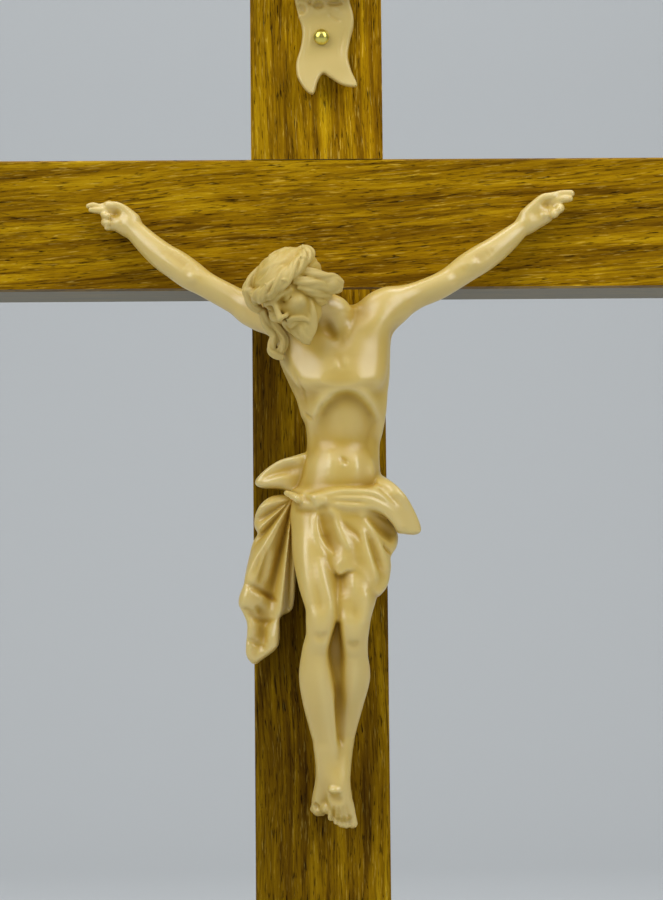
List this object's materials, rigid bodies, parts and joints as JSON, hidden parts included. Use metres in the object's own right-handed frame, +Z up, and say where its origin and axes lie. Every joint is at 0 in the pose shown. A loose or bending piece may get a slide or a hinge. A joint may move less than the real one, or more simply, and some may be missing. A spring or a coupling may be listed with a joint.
{
  "type": "altar cross",
  "caption": "Free-standing timber altar cross with a halved joint, a cast ivory-coloured figure, a nailed scroll and a stepped base on felt feet.",
  "frame": {"origin": "on the table surface under the middle of the base", "axes": "+Z up the cross, -Y out of its front, +X to the right seen from the front"},
  "size_m": [0.15, 0.07, 0.265],
  "materials": {
    "oak": "stained oak under a thin satin lacquer",
    "oak_base": "stained oak under a thin satin lacquer",
    "cast_resin": "ivory-coloured casting, brown patina rubbed into the hollows, satin",
    "brass_nail": "lightly dulled",
    "brass_screw": "lightly dulled",
    "steel_screw": "zinc plated",
    "felt": "dense wool felt"
  },
  "bodies": {
    "root": {"upright": "oak", "crossbeam": "oak", "base_block": "oak_base", "base_plate": "oak_base", "figure": "cast_resin", "scroll": "cast_resin", "scroll_nail": "brass_nail", "tenon_screw": "steel_screw", "figure_screw_1": "brass_screw", "figure_screw_2": "brass_screw", "block_screw_1": "steel_screw", "block_screw_2": "steel_screw", "felt_foot_1": "felt", "felt_foot_2": "felt", "felt_foot_3": "felt", "felt_foot_4": "felt"}
  },
  "joints": []
}
